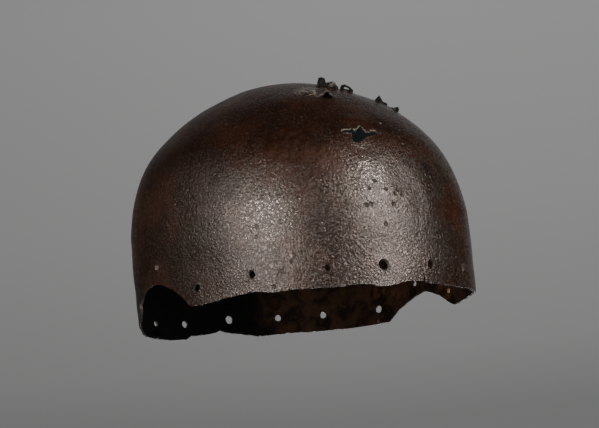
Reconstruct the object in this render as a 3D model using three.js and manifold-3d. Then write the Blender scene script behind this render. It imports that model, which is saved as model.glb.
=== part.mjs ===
// Skull of an open iron helmet, worn thin by long burial
// One raised plate carries an empty row of lining holes and a torn crown with bent-up slivers.
// Millimetres, +Z up, the brow faces -Y and the rim stands on z = 0.
// Compass angles are in degrees: 0 is the brow, 90 the wearer's left, 180 the nape.

import * as THREE from 'three';
import { mergeVertices } from 'three/addons/utils/BufferGeometryUtils.js';
import Module from 'manifold-3d';

const wasm = await Module();
wasm.setup();

// Driving sizes of the skull
const skullLength = 231.4;
const skullWidth = 201.2;
const domeHeight = 94;
const wallHeight = 52;
const plateThickness = 2;
const crownSetback = 8.4;
const browFlare = 4;
const napeTuck = 0.4;
const restFlatDepth = 0.5;

// Clearances and cutter lengths
const seatGap = 0.3;
const cutOverrun = 6;

// Fineness of the plate's facets in degrees and rows, the fullness of its dome,
// and the small angle its slope is read over
const columnStep = 5;
const wallRows = 4;
const domeRows = 12;
const domeFullness = 1.964;
const patchAngle = 0.5;

// Shallow hammered bands: level, from -1 at the wall's foot by 0 at its top to 1 at the crown,
// and how far the plate swells there as a share of its thickness
const bandShares = [
  [-1, -0.30], [-0.72, 0], [-0.33, 0.30], [0, -0.05], [0.09, -0.25], [0.31, 0.15], [0.52, -0.33],
  [0.69, -0.62], [0.86, -0.15], [1, -0.10],
];

// Rim, from the nape round by the wearer's right: compass angle and height as a share of the wall's height
const rimShares = [
  [-180, 0.010], [-174.7, -0.004], [-172.8, -0.048], [-166, -0.071], [-155, -0.088], [-149, -0.090],
  [-143.4, -0.065], [-139.3, -0.025], [-131, -0.012], [-122, 0], [-118, 0.020], [-116.2, 0.060],
  [-113.4, 0.203], [-109.8, 0.294], [-105.3, 0.335], [-100.5, 0.341], [-96, 0.326], [-92, 0.274],
  [-87, 0.200], [-82.5, 0.087], [-79.5, -0.012], [-75, -0.027], [-69.4, -0.019], [-63.4, 0.003],
  [-56.5, 0.018], [-53.5, 0.037], [-49, 0.021], [-45.5, -0.006], [-40.5, 0.005], [-25, -0.003],
  [-19.2, 0.020], [-15.7, 0.007], [-11.9, -0.025], [-8.5, -0.010], [-3.4, 0.044], [1.7, 0.050],
  [5.3, 0.025], [10.4, 0.014], [18, 0.014], [27, 0.025], [33, 0.020], [40, 0.045], [49, 0.071],
  [57, 0.072], [65, 0.060], [72.4, 0.043], [77.1, 0.104], [82.3, 0.205], [85.9, 0.251], [91, 0.303],
  [96.9, 0.267], [100.8, 0.218], [105.7, 0.137], [108.3, 0.070], [110.7, 0.005], [116, -0.011],
  [121.4, -0.015], [129.6, -0.010], [140.4, -0.004], [150.2, 0.004], [159.7, -0.014], [164.3, 0.011],
  [171, 0.043], [173.5, 0.077], [174.7, 0.046], [180, 0.010],
];

// The rim touches the table at these three compass angles
const restAngles = [-152, 121.4, -11.9];

// Lining holes: nominal bore, then compass angle, height share of the wall, width and tall shares of the bore
const liningBore = 4.6;
const liningBoreSides = 12;
const liningHoleShares = [
  [-97.6, 0.531, 1.05, 0.98], [-75.3, 0.177, 0.90, 0.95], [-52.3, 0.233, 1.00, 1.35],
  [-27.9, 0.227, 0.95, 1.20], [-11, 0.233, 1.50, 1.52], [5.7, 0.248, 1.03, 1.30],
  [22.6, 0.262, 0.83, 1.10], [48, 0.250, 0.90, 1.00], [75.8, 0.234, 0.95, 0.90],
  [96.7, 0.417, 1.20, 0.82], [115.1, 0.184, 1.13, 1.04], [137.2, 0.195, 0.89, 0.89],
  [153, 0.205, 0.90, 0.95], [169.8, 0.210, 1.15, 1.17], [-172.4, 0.143, 1.17, 1.01],
  [-156.1, 0.113, 1.30, 0.80], [-138, 0.135, 0.95, 0.90], [-118, 0.165, 0.90, 0.92],
];

// Star tear high on the brow: outline points as shares of its span and rise
const starTear = { compass: -9.6, rise: 27.7, span: 25.2, tall: 13.6 };
const starShares = [
  [-0.50, 0.28], [-0.41, 0.35], [-0.31, 0.30], [-0.22, 0.37], [-0.16, 0.22], [-0.05, 0.44], [0.03, 0.50],
  [0.07, 0.35], [0.11, 0.14], [0.22, 0.15], [0.35, 0.23], [0.50, 0.11], [0.26, -0.06], [0.11, -0.13],
  [-0.01, -0.27], [-0.10, -0.40], [-0.22, -0.50], [-0.33, -0.45], [-0.34, -0.30], [-0.30, -0.12],
  [-0.27, 0.09], [-0.37, 0.14], [-0.47, 0.16],
];

// Three-cornered hole under the buckled blister near the top
const cornerTear = { compass: -11.9, rise: 56.7, span: 8, tall: 8 };
const cornerShares = [[-0.50, -0.42], [0.50, -0.50], [0.34, 0.04], [0.18, 0.50], [-0.12, 0.06]];

// Short crack up from the rim of the brow
const browCrack = { compass: 2.5, span: 1.2, tall: 8.7 };
const crackShares = [[-0.50, -0.60], [0.50, -0.60], [0.34, 0.05], [0.10, 0.50], [-0.30, 0.00]];

// Slivers torn up from the crown: outlines as seen from the wearer's right front, in shares of span and tall
const sliverFacing = -37;
const slivers = [
  {
    name: 'torn_tab_upright', compass: -3.5, rise: 66, span: 4.4, tall: 5.4, thick: 1.6, lean: -8,
    outlineShares: [[-0.50, 0], [0.50, 0], [0.46, 0.42], [0.30, 0.86], [-0.06, 1], [-0.42, 0.90], [-0.46, 0.4]],
  },
  {
    name: 'torn_flap_folded', compass: 6.5, rise: 66, span: 8.8, tall: 3.6, thick: 2.4, lean: 10,
    outlineShares: [
      [-0.50, 0], [0.50, 0], [0.48, 0.34], [0.30, 0.62], [0.22, 0.94], [-0.04, 1], [-0.22, 0.78], [-0.46, 0.66],
    ],
  },
  {
    name: 'torn_flap_looped', compass: 17.2, rise: 63, span: 8.6, tall: 3.7, thick: 1.4, lean: 6,
    outlineShares: [[-0.50, 0], [0.50, 0], [0.47, 0.42], [0.12, 0.84], [-0.26, 1], [-0.48, 0.72]],
    slotShares: [[-0.26, 0.34], [0.24, 0.30], [0.06, 0.56], [-0.20, 0.66]],
  },
  {
    name: 'torn_ridge_upper', compass: 27.2, rise: 52, span: 8.4, tall: 4, thick: 1.6, lean: 4,
    outlineShares: [[-0.50, 0], [0.50, 0], [0.46, 0.34], [0.10, 0.40], [-0.32, 1], [-0.44, 0.44]],
  },
  {
    name: 'torn_ridge_lower', compass: 29.5, rise: 47.5, span: 7.4, tall: 3, thick: 1.6, lean: 4,
    outlineShares: [[-0.50, 0], [0.50, 0], [0.46, 0.62], [0.30, 1], [0.04, 0.46], [-0.36, 0.22]],
  },
];

// Buckled blister that roofs the three-cornered hole
const blister = { name: 'raised_blister', compass: -11.5, rise: 57.6, span: 11.5, tall: 4.6, thick: 1.2 };
const blisterRunShare = 0.9;
const blisterLipShare = 0.4;
const blisterCurveSteps = 4;

// Colours of the finish, for the sketch materials
const patinaColour = 0x3a2a22;
const tornColour = 0x4a3a30;

const halfLength = skullLength / 2;
const halfWidth = skullWidth / 2;

// Reads a table of places and values between its two nearest places
function readTable(table, place, ease) {
  const next = Math.max(table.findIndex((point) => point[0] >= place), 1);
  const [startPlace, startValue] = table[next - 1];
  const [endPlace, endValue] = table[next];
  const blend = THREE.MathUtils.clamp((place - startPlace) / (endPlace - startPlace), 0, 1);
  return THREE.MathUtils.lerp(startValue, endValue, ease(blend));
}

const straight = (blend) => blend;
const smooth = (blend) => THREE.MathUtils.smoothstep(blend, 0, 1);

// Height of the rim over the wall's foot at a compass angle
function rimHeight(compass) {
  return wallHeight * readTable(rimShares, compass, straight);
}

// How far the hammered bands push the plate out at a level
function bandSwell(level) {
  return plateThickness * readTable(bandShares, level, smooth);
}

// Distance from the axis to the plate's outer face on the wall, less an inset
function wallReach(compass, height, inset) {
  const turn = THREE.MathUtils.degToRad(compass);
  const oval = 1 / Math.hypot(Math.sin(turn) / (halfWidth - inset), Math.cos(turn) / (halfLength - inset));
  const depthShare = (wallHeight - height) / wallHeight;
  const spread = Math.cos(turn) > 0 ? browFlare * Math.cos(turn) : napeTuck * Math.cos(turn);
  return oval + spread * Math.max(depthShare, 0) + bandSwell(-depthShare);
}

// Point of the wall at a compass angle and height
function wallPoint(compass, height, inset) {
  const turn = THREE.MathUtils.degToRad(compass);
  const reach = wallReach(compass, height, inset);
  return new THREE.Vector3(reach * Math.sin(turn), -reach * Math.cos(turn), height);
}

// Point of the dome at a compass angle and a rise in degrees over the wall's top
function domePoint(compass, rise, inset) {
  const turn = THREE.MathUtils.degToRad(compass);
  const lift = THREE.MathUtils.degToRad(rise);
  const reachShare = Math.max(Math.cos(lift), 0) ** (2 / domeFullness);
  const heightShare = Math.sin(lift) ** (2 / domeFullness);
  const swell = bandSwell(rise / 90) - reachShare * bandSwell(0);
  const reach = reachShare * wallReach(compass, wallHeight, inset) + swell * reachShare;
  return new THREE.Vector3(
    reach * Math.sin(turn),
    crownSetback * heightShare - reach * Math.cos(turn),
    wallHeight + heightShare * (domeHeight - inset + swell),
  );
}

// Outward direction of the dome, taken across a small patch
function domeNormal(compass, rise) {
  const across = domePoint(compass + patchAngle, rise, 0).sub(domePoint(compass - patchAngle, rise, 0));
  const upward = domePoint(compass, rise + patchAngle, 0).sub(domePoint(compass, rise - patchAngle, 0));
  return across.cross(upward).normalize();
}

// Closed solid from a three.js geometry, and the way back
function toSolid(geometry) {
  const bare = new THREE.BufferGeometry();
  bare.setAttribute('position', geometry.getAttribute('position'));
  bare.setIndex(geometry.getIndex());
  const merged = mergeVertices(bare);
  const corners = [];
  const index = merged.getIndex();
  for (let i = 0; i < index.count; i += 3) {
    const [a, b, c] = [index.getX(i), index.getX(i + 1), index.getX(i + 2)];
    if (a !== b && b !== c && c !== a) corners.push(a, b, c);
  }
  const vertProperties = new Float32Array(merged.getAttribute('position').array);
  return new wasm.Manifold(new wasm.Mesh({ numProp: 3, vertProperties, triVerts: new Uint32Array(corners) }));
}

function toGeometry(solid) {
  const mesh = solid.getMesh();
  const geometry = new THREE.BufferGeometry();
  geometry.setAttribute('position', new THREE.BufferAttribute(mesh.vertProperties, 3));
  geometry.setIndex(new THREE.BufferAttribute(mesh.triVerts, 1));
  geometry.computeVertexNormals();
  return geometry;
}

// Compass angles of the plate's columns: the rim's own points, with even steps between them
function plateColumns() {
  const columns = [];
  for (let i = 1; i < rimShares.length; i += 1) {
    const [start, end] = [rimShares[i - 1][0], rimShares[i][0]];
    const steps = Math.ceil((end - start) / columnStep);
    for (let step = 0; step < steps; step += 1) columns.push(start + (end - start) * step / steps);
  }
  return columns;
}

// Plate of the skull: a turned profile, outside face up and inside face down, then drawn to its true places
function plateGeometry() {
  const columns = plateColumns();
  const stations = [];
  for (let row = 0; row < wallRows; row += 1) stations.push({ wallShare: row / wallRows, inset: 0 });
  for (let row = 0; row <= domeRows; row += 1) stations.push({ rise: 90 * row / domeRows, inset: 0 });
  const inner = stations.map((station) => ({ ...station, inset: plateThickness })).reverse();
  const loop = [...stations, ...inner, stations[0]];
  const profile = loop.map((station) => {
    const isCrown = station.rise === 90;
    return new THREE.Vector2(isCrown ? 0 : halfWidth - station.inset, station.rise ?? 0);
  });
  const geometry = new THREE.LatheGeometry(profile, columns.length);
  const position = geometry.getAttribute('position');
  for (let i = 0; i < position.count; i += 1) {
    const station = loop[i % loop.length];
    const compass = columns[Math.floor(i / loop.length) % columns.length];
    let point;
    if (station.rise === undefined) {
      const foot = rimHeight(compass);
      point = wallPoint(compass, THREE.MathUtils.lerp(foot, wallHeight, station.wallShare), station.inset);
    } else {
      point = domePoint(station.rise === 90 ? 0 : compass, station.rise, station.inset);
    }
    position.setXYZ(i, point.x, point.y, point.z);
  }
  return geometry;
}

// Outline from shares of a span and a height
function outlineShape(shares, span, tall) {
  return new THREE.Shape(shares.map(([across, up]) => new THREE.Vector2(across * span, up * tall)));
}

// Frame at a place on the plate: x to the wearer's left as seen from outside, y up the plate, z outward
function plateFrame(place, outward) {
  const across = new THREE.Vector3(0, 0, 1).cross(outward).normalize();
  const upward = outward.clone().cross(across);
  return new THREE.Matrix4().makeBasis(across, upward, outward).setPosition(place);
}

// Cutter that pierces the plate at a place, along its outward direction
function piercer(shape, frame) {
  const depth = plateThickness + 2 * cutOverrun;
  const geometry = new THREE.ExtrudeGeometry(shape, { depth, bevelEnabled: false });
  geometry.translate(0, 0, -plateThickness - cutOverrun);
  return toSolid(geometry.applyMatrix4(frame));
}

function wallPiercer(compass, height, shape) {
  const turn = THREE.MathUtils.degToRad(compass);
  const outward = new THREE.Vector3(Math.sin(turn), -Math.cos(turn), 0);
  return piercer(shape, plateFrame(wallPoint(compass, height, 0), outward));
}

function domePiercer(tear, shares) {
  const outward = domeNormal(tear.compass, tear.rise);
  const frame = plateFrame(domePoint(tear.compass, tear.rise, 0), outward);
  return piercer(outlineShape(shares, tear.span, tear.tall), frame);
}

function liningCutters() {
  return liningHoleShares.map(([compass, heightShare, widthShare, tallShare]) => {
    const shape = new THREE.Shape();
    for (let side = 0; side < liningBoreSides; side += 1) {
      const turn = 2 * Math.PI * side / liningBoreSides;
      const x = widthShare * liningBore / 2 * Math.cos(turn);
      const y = tallShare * liningBore / 2 * Math.sin(turn);
      if (side === 0) shape.moveTo(x, y);
      else shape.lineTo(x, y);
    }
    return wallPiercer(compass, heightShare * wallHeight, shape);
  });
}

function crackCutter() {
  const crack = outlineShape(crackShares, browCrack.span, browCrack.tall);
  return wallPiercer(browCrack.compass, rimHeight(browCrack.compass) + browCrack.tall / 2, crack);
}

// Skull with its holes and tears cut through
function skullSolid() {
  const cutters = [
    ...liningCutters(), crackCutter(), domePiercer(starTear, starShares), domePiercer(cornerTear, cornerShares),
  ];
  return cutters.reduce((solid, cutter) => solid.subtract(cutter), toSolid(plateGeometry()));
}

// Sliver: a flat outline that stands on the dome, facing one way and leaning back
function sliverSolid(sliver) {
  const shape = outlineShape(sliver.outlineShares, sliver.span, sliver.tall);
  if (sliver.slotShares) {
    shape.holes.push(outlineShape(sliver.slotShares, sliver.span, sliver.tall));
  }
  const geometry = new THREE.ExtrudeGeometry(shape, { depth: sliver.thick, bevelEnabled: false });
  geometry.translate(0, 0, -sliver.thick / 2);
  const outward = domeNormal(sliver.compass, sliver.rise);
  const facingTurn = THREE.MathUtils.degToRad(sliverFacing);
  const facing = new THREE.Vector3(Math.sin(facingTurn), -Math.cos(facingTurn), 0);
  const across = outward.clone().cross(facing).normalize();
  const frame = new THREE.Matrix4().makeBasis(across, outward, across.clone().cross(outward));
  const backLean = new THREE.Matrix4().makeRotationX(THREE.MathUtils.degToRad(sliver.lean));
  const footLift = sliver.thick / 2 * Math.abs(Math.sin(THREE.MathUtils.degToRad(sliver.lean)));
  const seat = domePoint(sliver.compass, sliver.rise, 0).addScaledVector(outward, seatGap + footLift);
  return toSolid(geometry.applyMatrix4(backLean).applyMatrix4(frame.setPosition(seat)));
}

// Blister: a low arched roof over the three-cornered hole, its open end down the slope
function blisterSolid() {
  const outward = domeNormal(blister.compass, blister.rise);
  const half = blister.span / 2;
  const arch = new THREE.Shape();
  arch.moveTo(-half, 0);
  arch.quadraticCurveTo(-half * blisterLipShare, blister.tall / 2, 0, blister.tall);
  arch.quadraticCurveTo(half * blisterLipShare, blister.tall / 2, half, 0);
  arch.lineTo(half - blister.thick, 0);
  arch.quadraticCurveTo(half * blisterLipShare, 0, 0, blister.tall - blister.thick);
  arch.quadraticCurveTo(-half * blisterLipShare, 0, blister.thick - half, 0);
  const run = blister.span * blisterRunShare;
  const extrusion = { depth: run, bevelEnabled: false, curveSegments: blisterCurveSteps };
  const geometry = new THREE.ExtrudeGeometry(arch, extrusion);
  geometry.translate(0, 0, -run / 2);
  const across = new THREE.Vector3(0, 0, 1).cross(outward).normalize();
  const frame = new THREE.Matrix4().makeBasis(across, outward, across.clone().cross(outward));
  const seat = domePoint(blister.compass, blister.rise, 0).addScaledVector(outward, seatGap);
  return toSolid(geometry.applyMatrix4(frame.setPosition(seat)));
}

// Stand the helmet on the three low places of its rim, then trim these flat
function tableTurn() {
  const [nape, side, brow] = restAngles.map((compass) => wallPoint(compass, rimHeight(compass), 0));
  const normal = side.clone().sub(nape).cross(brow.clone().sub(nape)).normalize();
  if (normal.z < 0) normal.negate();
  const turn = new THREE.Quaternion().setFromUnitVectors(normal, new THREE.Vector3(0, 0, 1));
  const matrix = new THREE.Matrix4().makeRotationFromQuaternion(turn);
  const drop = nape.applyMatrix4(matrix).z + restFlatDepth;
  return matrix.premultiply(new THREE.Matrix4().makeTranslation(0, 0, -drop));
}

function belowTable() {
  const box = new THREE.BoxGeometry(2 * skullLength, 2 * skullLength, wallHeight);
  return toSolid(box.translate(0, 0, -wallHeight / 2));
}

const standing = tableTurn();
const skull = toGeometry(skullSolid()).applyMatrix4(standing);
const pieces = [
  { name: 'skull', geometry: toGeometry(toSolid(skull).subtract(belowTable())), colour: patinaColour },
  { name: blister.name, geometry: toGeometry(blisterSolid()).applyMatrix4(standing), colour: tornColour },
  ...slivers.map((sliver) => ({
    name: sliver.name, geometry: toGeometry(sliverSolid(sliver)).applyMatrix4(standing), colour: tornColour,
  })),
];

// Place the pieces with the middle of the whole helmet over the origin
const helmet = new THREE.Group();
const whole = new THREE.Box3();
for (const piece of pieces) {
  piece.geometry.computeBoundingBox();
  whole.union(piece.geometry.boundingBox);
}
const middle = whole.getCenter(new THREE.Vector3());
for (const piece of pieces) {
  piece.geometry.translate(-middle.x, -middle.y, 0);
  const material = new THREE.MeshStandardMaterial({ color: piece.colour, roughness: 0.55, metalness: 0.7 });
  const mesh = new THREE.Mesh(piece.geometry, material);
  mesh.name = piece.name;
  helmet.add(mesh);
}

export default helmet;
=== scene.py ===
# Iron helmet skull in relic state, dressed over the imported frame
# Metres; compass angles in degrees: 0 is the brow, 90 the wearer's left, 180 the nape

import math

import bpy
from mathutils import Matrix, Vector, noise


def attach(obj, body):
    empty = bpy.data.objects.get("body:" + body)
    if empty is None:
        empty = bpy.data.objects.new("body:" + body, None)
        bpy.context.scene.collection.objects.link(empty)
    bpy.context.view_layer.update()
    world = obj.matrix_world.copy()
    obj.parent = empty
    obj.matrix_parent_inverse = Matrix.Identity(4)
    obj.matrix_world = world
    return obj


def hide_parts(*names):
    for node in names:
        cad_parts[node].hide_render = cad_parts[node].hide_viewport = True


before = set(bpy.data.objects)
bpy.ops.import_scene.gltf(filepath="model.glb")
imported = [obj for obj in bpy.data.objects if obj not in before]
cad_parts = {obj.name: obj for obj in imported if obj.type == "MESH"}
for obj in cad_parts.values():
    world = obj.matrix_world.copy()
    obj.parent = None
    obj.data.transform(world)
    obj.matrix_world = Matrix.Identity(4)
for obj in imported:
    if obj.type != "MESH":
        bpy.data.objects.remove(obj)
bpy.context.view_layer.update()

tearSeed = 11
noise.seed_set(tearSeed)  # without a seed the noise starts from the clock and the tears differ each run

# What a user would change on the plate: its size, its fineness and how uneven it is; the two slopes say
# how soon the chips fade above the rim and the crust below the wall's top
plate = {
    "length": 0.2314, "width": 0.2012, "domeHeight": 0.094, "wallHeight": 0.052, "thickness": 0.002,
    "crownSetback": 0.0084, "browFlare": 0.004, "napeTuck": 0.0004, "fullness": 1.964,
    "restAngles": (-152, 121.4, -11.9), "restDepth": 0.0005,
    "columns": 432, "wallRows": 28, "domeRows": 62, "rimCrowding": 1.5,
    "hammerSpan": 0.034, "hammerDepth": 0.0005, "dimpleSpan": 0.011, "dimpleDepth": 0.00016,
    "chipSpan": 0.0042, "chipDepth": 0.0004, "nickSpan": 0.0016, "nickDepth": 0.00030, "rimSlope": 4,
    "crust": 0.0005, "crustSlope": 3, "dimpleShift": (7, 3, 1), "seam": 179.999, "markReach": 4,
    "mergeReach": 0.00001, "smoothAngle": 40,
}
innerSlot, edgeSlot = 1, 2  # the skull's second and third materials: its inner face and its broken edges

# Level, from -1 at the wall's foot by 0 at its top to 1 at the crown, and swell as a share of the thickness
bandShares = [
    (-1, -0.30), (-0.72, 0), (-0.33, 0.30), (0, -0.05), (0.09, -0.25), (0.31, 0.15), (0.52, -0.33),
    (0.69, -0.62), (0.86, -0.15), (1, -0.10),
]

# Compass angle and height of the rim as a share of the wall's height
rimShares = [
    (-180, 0.010), (-174.7, -0.004), (-172.8, -0.048), (-166, -0.071), (-155, -0.088), (-149, -0.090),
    (-143.4, -0.065), (-139.3, -0.025), (-131, -0.012), (-125.5, 0), (-122, 0.020), (-120.2, 0.060),
    (-117.2, 0.203), (-112.6, 0.294), (-106.6, 0.335), (-100.5, 0.341), (-96, 0.326), (-92, 0.274),
    (-87, 0.200), (-82.5, 0.087), (-79.5, -0.012), (-75, -0.027), (-69.4, -0.019), (-63.4, 0.003),
    (-56.5, 0.018), (-53.5, 0.037), (-49, 0.021), (-45.5, -0.006), (-40.5, 0.005), (-25, -0.003),
    (-19.2, 0.020), (-15.7, 0.007), (-11.9, -0.025), (-8.5, -0.010), (-3.4, 0.044), (1.7, 0.050),
    (5.3, 0.025), (10.4, 0.014), (18, 0.014), (27, 0.025), (33, 0.020), (40, 0.045), (49, 0.071),
    (57, 0.072), (65, 0.060), (72.4, 0.043), (77.1, 0.104), (82.3, 0.205), (85.9, 0.251), (91, 0.303),
    (96.9, 0.267), (100.8, 0.218), (105.7, 0.137), (108.3, 0.070), (110.7, 0.005), (116, -0.011),
    (121.4, -0.015), (129.6, -0.010), (140.4, -0.004), (150.2, 0.004), (159.7, -0.014), (164.3, 0.011),
    (171, 0.043), (173.5, 0.077), (174.7, 0.046), (180, 0.010),
]


def readTable(table, place, eased):
    for (start, low), (end, high) in zip(table, table[1:]):
        if place <= end:
            break
    blend = min(max((place - start) / (end - start), 0), 1)
    if eased:
        blend = blend * blend * (3 - 2 * blend)
    return low + (high - low) * blend


def rimHeight(compass):
    return plate["wallHeight"] * readTable(rimShares, compass, False)


def bandSwell(level):
    return plate["thickness"] * readTable(bandShares, level, True)


def wallPoint(compass, height):
    turn = math.radians(compass)
    oval = 1 / math.hypot(math.sin(turn) / (plate["width"] / 2), math.cos(turn) / (plate["length"] / 2))
    depthShare = (plate["wallHeight"] - height) / plate["wallHeight"]
    flare = plate["browFlare"] if math.cos(turn) > 0 else plate["napeTuck"]
    reach = oval + flare * math.cos(turn) * max(depthShare, 0) + bandSwell(-depthShare)
    return Vector((reach * math.sin(turn), -reach * math.cos(turn), height))


def domePoint(compass, rise):
    lift = math.radians(rise)
    reachShare = max(math.cos(lift), 0) ** (2 / plate["fullness"])
    heightShare = math.sin(lift) ** (2 / plate["fullness"])
    swell = bandSwell(rise / 90) - reachShare * bandSwell(0)
    spot = wallPoint(compass, plate["wallHeight"])
    outward = Vector((spot.x, spot.y, 0)).normalized()
    spot = Vector((spot.x, spot.y, 0)) * reachShare + outward * swell * reachShare
    spot.y += plate["crownSetback"] * heightShare
    spot.z = plate["wallHeight"] + heightShare * (plate["domeHeight"] + swell)
    return spot


def platePoint(compass, level):  # level -1 is the rim, 0 the wall's top and 1 the crown
    if level < 0:
        foot = rimHeight(compass)
        return wallPoint(compass, plate["wallHeight"] + level * (plate["wallHeight"] - foot))
    return domePoint(compass, level * 90)


def plateNormal(compass, level):
    step, turn, nearCrown = 0.004, 0.5, 0.9999
    across = platePoint(compass + turn, level) - platePoint(compass - turn, level)
    upward = platePoint(compass, min(level + step, nearCrown)) - platePoint(compass, level - step)
    return across.cross(upward).normalized()


def levelAcross(outward):  # sideways along the plate, towards the wearer's left in front
    return Vector((0, 0, 1)).cross(outward).normalized()


def tableMatrix():  # stands the plate on three low places of its rim, over the frame's origin
    nape, side, brow = [wallPoint(compass, rimHeight(compass)) for compass in plate["restAngles"]]
    normal = (side - nape).cross(brow - nape).normalized()
    if normal.z < 0:
        normal.negate()
    turn = normal.rotation_difference(Vector((0, 0, 1))).to_matrix().to_4x4()
    spots = [turn @ platePoint(compass, level) for compass in range(-180, 180) for level in (-1, -0.5, 0)]
    middle = [(max(spot[axis] for spot in spots) + min(spot[axis] for spot in spots)) / 2 for axis in (0, 1)]
    drop = (turn @ nape).z + plate["restDepth"]
    return Matrix.Translation((-middle[0], -middle[1], -drop)) @ turn


onTable = tableMatrix()
print("plate formula ready", [round(shift, 4) for shift in onTable.translation])


def placeOf(feature):  # a tear's or the blister's place on the standing plate
    return onTable @ domePoint(feature["compass"], feature["rise"])


def outwardOf(feature):
    return onTable.to_3x3() @ plateNormal(feature["compass"], feature["rise"] / 90)


# Lining holes: compass angle, height share of the wall, width and tall shares of the bore,
# and how far the hole narrows from its outer to its inner mouth
lining = {
    "bore": 0.0046, "sides": 24, "ragged": 0.16, "raggedFineness": 4, "reach": 0.008,
    "lipRise": 0.00025, "lipWidth": 0.0010, "lipReach": 0.01, "lipTop": -0.2,
    "shares": [
        (-97.0, 0.531, 1.05, 0.92, 0.66), (-75.3, 0.177, 1.35, 1.20, 0.80), (-52.3, 0.233, 1.05, 1.32, 0.72),
        (-27.9, 0.227, 0.92, 1.10, 0.80), (-11, 0.233, 1.55, 1.55, 0.80), (5.7, 0.248, 1.22, 1.45, 0.86),
        (22.6, 0.262, 1.15, 1.20, 0.70), (48, 0.250, 0.90, 1.00, 0.85), (75.8, 0.234, 0.80, 0.90, 0.95),
        (96.7, 0.417, 1.00, 0.66, 1.00), (115.1, 0.184, 1.13, 1.04, 1.00), (137.2, 0.195, 0.89, 0.89, 1.00),
        (153, 0.205, 0.90, 0.95, 0.95), (169.8, 0.210, 1.15, 1.17, 1.00), (-172.4, 0.143, 1.17, 1.01, 1.00),
        (-156.1, 0.113, 1.30, 0.80, 1.00), (-138, 0.135, 0.95, 0.90, 0.85), (-118, 0.165, 0.90, 0.92, 0.85),
    ],
}

# Star tear high on the brow, its outline as shares of its span and of its height
starTear = {
    "compass": -9.6, "rise": 27.7, "span": 0.0252, "tall": 0.0136, "depth": 0.012,
    "shares": [
        (-0.50, 0.28), (-0.41, 0.35), (-0.31, 0.30), (-0.22, 0.37), (-0.16, 0.22), (-0.05, 0.44),
        (0.03, 0.50), (0.07, 0.35), (0.11, 0.14), (0.22, 0.15), (0.35, 0.23), (0.50, 0.11), (0.26, -0.06),
        (0.11, -0.13), (-0.01, -0.27), (-0.10, -0.40), (-0.22, -0.50), (-0.33, -0.45), (-0.34, -0.30),
        (-0.30, -0.12), (-0.27, 0.09), (-0.37, 0.14), (-0.47, 0.16),
    ],
}

# Three-cornered hole under the blister near the crown
cornerTear = {
    "compass": -12.3, "rise": 54.0, "span": 0.0112, "tall": 0.0116, "depth": 0.012,
    "shares": [(-0.50, -0.42), (0.50, -0.50), (0.34, 0.04), (0.18, 0.50), (-0.12, 0.06)],
}

# Short crack up from the rim of the brow
browCrack = {
    "compass": 2.5, "span": 0.0012, "tall": 0.0087, "depth": 0.012,
    "shares": [(-0.50, -0.60), (0.50, -0.60), (0.34, 0.05), (0.10, 0.50), (-0.30, 0.00)],
}

# Swellings and hollows of the plate: compass angle, level, height outward, radius across and up
plateRelief = [
    (-10.2, 0.385, 0.0010, 0.010, 0.0045),  # lifted upper lip of the star tear
    (-12.0, 0.235, -0.0006, 0.007, 0.004),  # pressed-in tongue under it
    (-19.0, 0.625, 0.0007, 0.005, 0.004),  # buckled plate beside the three-cornered hole
    (-3.5, 0.735, 0.0007, 0.004, 0.004),
    (6.5, 0.735, 0.0006, 0.006, 0.004),
    (17.2, 0.70, 0.0006, 0.006, 0.004),
    (27.2, 0.58, 0.0006, 0.006, 0.003),
    (29.5, 0.53, 0.0006, 0.006, 0.003),
    (-1.5, 0.10, -0.0006, 0.008, 0.010),  # valley beside the right highlight
    (3.5, 0.02, -0.0005, 0.006, 0.010),
    (0.8, 0.38, -0.0004, 0.004, 0.002),
]


def unevenness(spot):  # hammer marks and shallow dimples, read at a place on the plate
    hammered = noise.noise(spot / plate["hammerSpan"]) * plate["hammerDepth"]
    dimpled = noise.noise(spot / plate["dimpleSpan"] + Vector(plate["dimpleShift"])) * plate["dimpleDepth"]
    return hammered + dimpled


def chippedRim(compass):  # small bites out of the rim
    spot = wallPoint(compass, 0)
    chips = noise.noise(spot / plate["chipSpan"]) * plate["chipDepth"]
    return chips + noise.noise(spot / plate["nickSpan"]) * plate["nickDepth"]


def deselectAll():
    if bpy.context.mode != "OBJECT":
        bpy.ops.object.mode_set(mode="OBJECT")
    bpy.ops.object.select_all(action="DESELECT")


def activate(piece):
    deselectAll()
    bpy.context.view_layer.objects.active = piece
    piece.select_set(True)


def editAll(piece):  # into edit mode, with the whole mesh selected
    activate(piece)
    bpy.ops.object.mode_set(mode="EDIT")
    bpy.ops.mesh.select_all(action="SELECT")


def leaveEdit():
    bpy.ops.object.mode_set(mode="OBJECT")


def applyModifier(piece, kind, **settings):
    activate(piece)
    modifier = piece.modifiers.new(kind.title(), kind)
    for name, value in settings.items():
        setattr(modifier, name, value)
    bpy.ops.object.modifier_apply(modifier=modifier.name)


def settle(piece, name):  # the piece's object goes to the origin, its place into its mesh
    activate(piece)
    bpy.ops.object.transform_apply()
    piece.name = name
    piece.data.name = name
    return piece


def reliefAt(spot, marks):
    push = unevenness(spot)
    for place, outward, across, height, radiusAcross, radiusUp in marks:
        away = spot - place
        if away.length < plate["markReach"] * max(radiusAcross, radiusUp):
            sideways = away.dot(across) / radiusAcross
            upward = away.dot(outward.cross(across)) / radiusUp
            push += height * math.exp(-(sideways ** 2 + upward ** 2))
    return push


def markFrames():
    marks = []
    for compass, level, height, radiusAcross, radiusUp in plateRelief:
        outward = plateNormal(compass, level)
        spot = platePoint(compass, level)
        marks.append((spot, outward, levelAcross(outward), height, radiusAcross, radiusUp))
    return marks


def holePlace(hole):
    return wallPoint(hole[0], hole[1] * plate["wallHeight"])


def holeFrames():
    halfBore = lining["bore"] / 2
    return [(holePlace(hole), hole[2] * halfBore, hole[3] * halfBore) for hole in lining["shares"]]


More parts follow.
